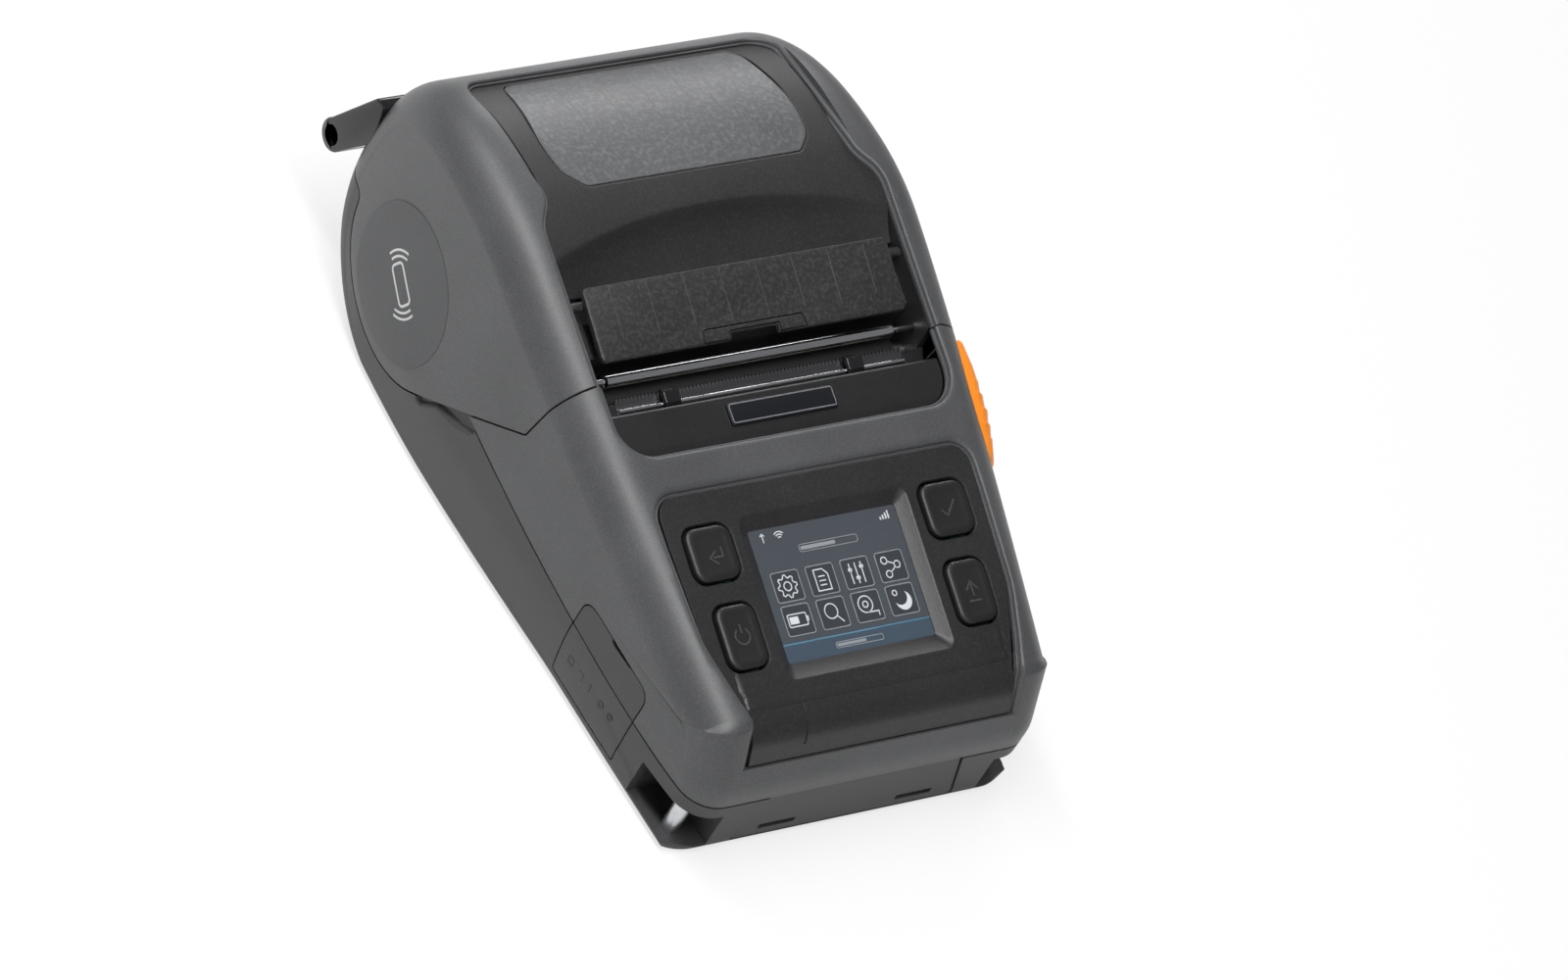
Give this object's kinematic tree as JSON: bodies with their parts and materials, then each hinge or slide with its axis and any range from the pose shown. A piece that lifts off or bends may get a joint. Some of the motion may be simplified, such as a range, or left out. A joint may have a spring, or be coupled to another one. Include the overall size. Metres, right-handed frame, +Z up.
{
  "type": "portable label printer",
  "caption": "Hand-held label and receipt printer with a display deck, a flip-up paper cover, a peeler flap, a side release button and a slide-in battery.",
  "frame": {"origin": "centre of the box round the printer, at the flat base", "axes": "+X to the printer's right as seen from the display end, +Y from the display end to the hinge, +Z up from the base"},
  "size_m": [0.1152, 0.1852, 0.073],
  "materials": {
    "dark_shell": "fine matt grain",
    "grey_shell": "fine satin grain",
    "black_plastic": "fine matt grain",
    "key_rubber": "soft matt rubber",
    "orange_plastic": "smooth satin",
    "screen_glass": "clear flat glass",
    "screen_body": "pressed metal",
    "circuit_board": "solder mask",
    "bright_steel": "polished",
    "steel": "brushed",
    "alloy": "satin",
    "head_ceramic": "smooth fired",
    "platen_rubber": "ground rubber",
    "gear_plastic": "moulded acetal",
    "gear_brass": "turned",
    "window_smoke": "smoked, finely grained"
  },
  "bodies": {
    "housing": {"lower_housing": "dark_shell", "front_housing": "grey_shell", "display_panel": "black_plastic", "lcd_module": "screen_body", "lcd_glass": "screen_glass", "key_board": "circuit_board", "key_switches": "steel", "main_board": "circuit_board", "usb_socket": "steel", "power_jack": "black_plastic", "port_cover_pin": "steel", "strap_pin_left": "bright_steel", "strap_pin_right": "bright_steel", "outlet_frame": "black_plastic", "badge_plate": "black_plastic", "tear_bar": "steel", "bar_clip_left": "black_plastic", "bar_clip_right": "black_plastic", "print_chassis": "black_plastic", "print_head": "head_ceramic", "heat_sink": "alloy", "head_spring": "steel", "gear_plate": "steel", "stepper_motor": "alloy", "media_tub": "black_plastic", "label_sensor": "black_plastic", "battery_contacts": "gear_brass", "hinge_bracket": "black_plastic", "hinge_pin": "steel"},
    "back_key": {"key_back": "key_rubber"},
    "confirm_key": {"key_confirm": "key_rubber"},
    "power_key": {"key_power": "key_rubber"},
    "feed_key": {"key_feed": "key_rubber"},
    "port_door": {"port_cover": "key_rubber"},
    "release": {"release_button": "orange_plastic"},
    "latch": {"cover_latch": "steel"},
    "battery": {"battery_pack": "black_plastic"},
    "battery_catch": {"battery_latch": "black_plastic"},
    "left_holder": {"holder_left": "black_plastic"},
    "right_holder": {"holder_right": "black_plastic"},
    "cover": {"cover_shell": "grey_shell", "centre_panel": "black_plastic", "window": "window_smoke", "cover_frame": "black_plastic", "hinge_arms": "black_plastic", "peel_rod": "bright_steel"},
    "flap": {"peeler_flap": "black_plastic"},
    "platen": {"platen_roller": "platen_rubber", "platen_shaft": "steel", "platen_gear": "gear_plastic"},
    "idler": {"idler_gear": "gear_plastic"},
    "pinion": {"motor_pinion": "gear_brass"}
  },
  "joints": [
    {"name": "back_key_press", "type": "slide", "parent": "housing", "child": "back_key", "axis": [0, -0.3338, 0.9426], "range_m": [-0.0006, 0], "stiffness_N_per_m": 500},
    {"name": "confirm_key_press", "type": "slide", "parent": "housing", "child": "confirm_key", "axis": [0, -0.3338, 0.9426], "range_m": [-0.0006, 0], "stiffness_N_per_m": 500},
    {"name": "power_key_press", "type": "slide", "parent": "housing", "child": "power_key", "axis": [0, -0.3338, 0.9426], "range_m": [-0.0006, 0], "stiffness_N_per_m": 500},
    {"name": "feed_key_press", "type": "slide", "parent": "housing", "child": "feed_key", "axis": [0, -0.3338, 0.9426], "range_m": [-0.0006, 0], "stiffness_N_per_m": 500},
    {"name": "port_door_hinge", "type": "hinge", "parent": "housing", "child": "port_door", "pos_m": [-0.04907, -0.0549, 0.0055], "axis": [0.0598, -0.9982, 0], "range_deg": [0, 90]},
    {"name": "release_press", "type": "slide", "parent": "housing", "child": "release", "axis": [-1, 0, 0], "range_m": [0, 0.002], "stiffness_N_per_m": 600},
    {"name": "latch_turn", "type": "hinge", "parent": "housing", "child": "latch", "pos_m": [0.0446, -0.01265, 0.03404], "axis": [1, 0, 0], "range_deg": [0, 6.5]},
    {"name": "battery_slide", "type": "slide", "parent": "housing", "child": "battery", "axis": [0, -1, 0], "range_m": [0, 0.07]},
    {"name": "battery_catch_press", "type": "slide", "parent": "battery", "child": "battery_catch", "axis": [0, 0, -1], "range_m": [0, 0.0016], "stiffness_N_per_m": 500},
    {"name": "right_holder_slide", "type": "slide", "parent": "housing", "child": "right_holder", "axis": [1, 0, 0], "range_m": [0, 0.011], "stiffness_N_per_m": 60, "springref_m": -0.004},
    {"name": "left_holder_slide", "type": "slide", "parent": "housing", "child": "left_holder", "axis": [-1, 0, 0], "range_m": [0, 0.011]},
    {"name": "cover_hinge", "type": "hinge", "parent": "housing", "child": "cover", "pos_m": [0, 0.08865, 0.029], "axis": [-1, 0, 0], "range_deg": [0, 95]},
    {"name": "flap_hinge", "type": "hinge", "parent": "cover", "child": "flap", "pos_m": [0, 0.01085, 0.06279], "axis": [-1, 0, 0], "range_deg": [0, 45]},
    {"name": "platen_spin", "type": "hinge", "parent": "cover", "child": "platen", "pos_m": [0, -0.00445, 0.04653], "axis": [1, 0, 0], "continuous": true},
    {"name": "idler_spin", "type": "hinge", "parent": "housing", "child": "idler", "pos_m": [-0.0496, -0.01617, 0.0367], "axis": [1, 0, 0], "continuous": true},
    {"name": "pinion_spin", "type": "hinge", "parent": "housing", "child": "pinion", "pos_m": [-0.0496, -0.02978, 0.0317], "axis": [1, 0, 0], "continuous": true}
  ],
  "couplings": [
    {"joint": "idler_spin", "follows": "platen_spin", "ratio": -0.58333},
    {"joint": "pinion_spin", "follows": "platen_spin", "ratio": 1.1667},
    {"joint": "left_holder_slide", "follows": "right_holder_slide", "ratio": 1},
    {"joint": "latch_turn", "follows": "release_press", "rad_per_m": 52.36}
  ]
}
